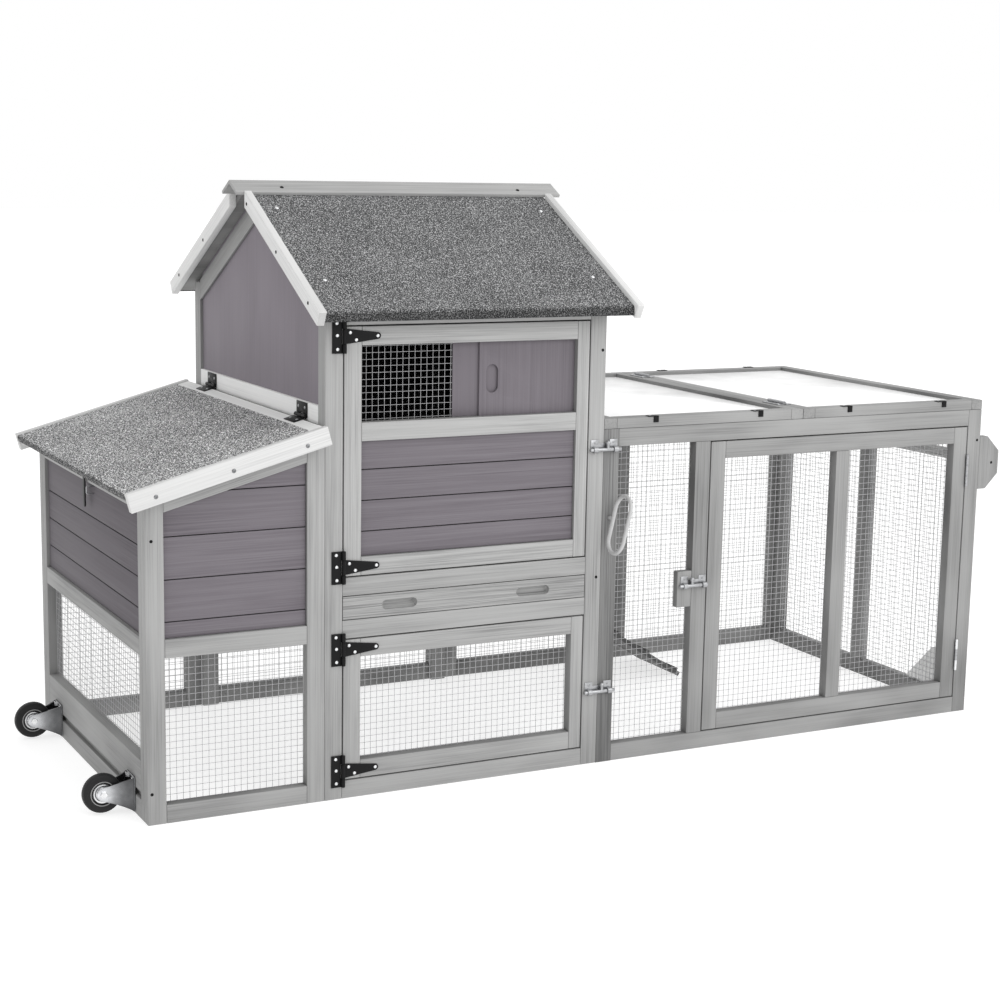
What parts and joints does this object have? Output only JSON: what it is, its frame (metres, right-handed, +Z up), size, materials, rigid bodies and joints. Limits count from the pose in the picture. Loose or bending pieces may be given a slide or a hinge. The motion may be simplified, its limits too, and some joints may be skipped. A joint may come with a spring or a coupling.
{
  "type": "chicken tractor",
  "caption": "Wooden chicken tractor with a gabled house, lift-lid nest box, wire run with hinged door and top, pull-out tray and end casters.",
  "frame": {"origin": "middle of the ground rectangle under the whole coop", "axes": "+X along the row from the nest box to the run, +Y from the door front to the back, +Z up"},
  "size_m": [2.0912, 0.905, 1.1849],
  "materials": {
    "frame_wood": "grey washed, matte",
    "trim_wood": "pale grey wash, matte",
    "panel_wood": "mauve grey stain, matte",
    "roof_felt": "mineral felt",
    "black_metal": "satin black",
    "zinc_metal": "zinc plated",
    "fork_metal": "bright plated",
    "wheel_rubber": "matte black",
    "clear_sheet": "clear sheet",
    "net_wire": "galvanised wire"
  },
  "bodies": {
    "coop": {"nest_front_frame": "frame_wood", "nest_back_frame": "frame_wood", "nest_end_frame": "frame_wood", "caster_board": "frame_wood", "nest_inside": "frame_wood", "house_front_frame": "frame_wood", "house_back_frame": "frame_wood", "tray_runners": "frame_wood", "rafters": "frame_wood", "roof_decks": "frame_wood", "run_front_frame": "frame_wood", "run_back_frame": "frame_wood", "run_end_frame": "frame_wood", "bolt_block": "frame_wood", "handle_plates": "frame_wood", "handle_bar": "frame_wood", "lid_left_frame": "frame_wood", "pop_guides": "frame_wood", "bargeboards": "trim_wood", "ridge_cap": "trim_wood", "hinge_rail": "trim_wood", "nest_planks": "panel_wood", "house_left_wall": "panel_wood", "house_right_wall": "panel_wood", "house_back_planks": "panel_wood", "roof_felt": "roof_felt", "black_fittings": "black_metal", "silver_fittings": "zinc_metal", "caster_forks": "fork_metal", "lid_left_sheet": "clear_sheet", "fixed_nets": "net_wire"},
    "upper_door": {"upper_door_frame": "frame_wood", "upper_door_planks": "panel_wood", "upper_door_net": "net_wire", "window_pane": "panel_wood", "upper_door_straps": "black_metal"},
    "window_slider": {"window_slider": "panel_wood"},
    "lower_door": {"lower_door_frame": "frame_wood", "lower_door_net": "net_wire", "lower_door_straps": "black_metal"},
    "tray": {"tray_front": "frame_wood", "tray_pan": "zinc_metal"},
    "run_door": {"run_door_frame": "frame_wood", "run_door_net": "net_wire", "run_door_leaves": "zinc_metal"},
    "nest_roof": {"nest_roof_deck": "trim_wood", "nest_roof_felt": "roof_felt", "nest_roof_leaves": "black_metal"},
    "latch": {"latch_strap": "black_metal"},
    "upper_bolt": {"upper_bolt": "zinc_metal"},
    "lower_bolt": {"lower_bolt": "zinc_metal"},
    "run_bolt": {"run_bolt": "zinc_metal"},
    "pop_door": {"pop_door": "panel_wood", "pull_rod": "zinc_metal"},
    "run_lid": {"lid_right_frame": "frame_wood", "lid_right_sheet": "clear_sheet", "lid_right_fittings": "zinc_metal"},
    "ramp": {"ramp": "frame_wood"},
    "wheel_front": {"wheel_front": "wheel_rubber"},
    "wheel_back": {"wheel_back": "wheel_rubber"}
  },
  "joints": [
    {"name": "upper_door_hinge", "type": "hinge", "parent": "coop", "child": "upper_door", "pos_m": [-0.56035, -0.3797, 0.6815], "axis": [0, 0, -1], "range_deg": [0, 110]},
    {"name": "window_slide", "type": "slide", "parent": "upper_door", "child": "window_slider", "axis": [-1, 0, 0], "range_m": [0, 0.25]},
    {"name": "lower_door_hinge", "type": "hinge", "parent": "coop", "child": "lower_door", "pos_m": [-0.56035, -0.3797, 0.178], "axis": [0, 0, -1], "range_deg": [0, 110]},
    {"name": "tray_slide", "type": "slide", "parent": "coop", "child": "tray", "axis": [0, -1, 0], "range_m": [0, 0.55]},
    {"name": "run_door_hinge", "type": "hinge", "parent": "coop", "child": "run_door", "pos_m": [0.95215, -0.3797, 0.35], "axis": [0, 0, 1], "range_deg": [0, 110]},
    {"name": "nest_roof_hinge", "type": "hinge", "parent": "coop", "child": "nest_roof", "pos_m": [-0.6018, 0.007, 0.74205], "axis": [0, 1, 0], "range_deg": [0, 80]},
    {"name": "latch_swing", "type": "hinge", "parent": "nest_roof", "child": "latch", "pos_m": [-0.9549, 0.007, 0.612], "axis": [-1, 0, 0], "range_deg": [-75, 20]},
    {"name": "upper_bolt_slide", "type": "slide", "parent": "coop", "child": "upper_bolt", "axis": [-1, 0, 0], "range_m": [0, 0.012]},
    {"name": "lower_bolt_slide", "type": "slide", "parent": "coop", "child": "lower_bolt", "axis": [-1, 0, 0], "range_m": [0, 0.012]},
    {"name": "run_bolt_slide", "type": "slide", "parent": "coop", "child": "run_bolt", "axis": [1, 0, 0], "range_m": [0, 0.012]},
    {"name": "pop_door_slide", "type": "slide", "parent": "coop", "child": "pop_door", "axis": [0, -1, 0], "range_m": [0, 0.215]},
    {"name": "run_lid_hinge", "type": "hinge", "parent": "coop", "child": "run_lid", "pos_m": [0.4989, 0.007, 0.7256], "axis": [0, -1, 0], "range_deg": [0, 110]},
    {"name": "ramp_hinge", "type": "hinge", "parent": "coop", "child": "ramp", "pos_m": [0.0194, 0.2415, 0.338], "axis": [0, -1, 0], "range_deg": [0, 60]},
    {"name": "wheel_front_spin", "type": "hinge", "parent": "coop", "child": "wheel_front", "pos_m": [-1.0076, -0.2705, 0.041], "axis": [0, 1, 0], "continuous": true},
    {"name": "wheel_back_spin", "type": "hinge", "parent": "coop", "child": "wheel_back", "pos_m": [-1.0076, 0.2645, 0.041], "axis": [0, 1, 0], "continuous": true}
  ]
}
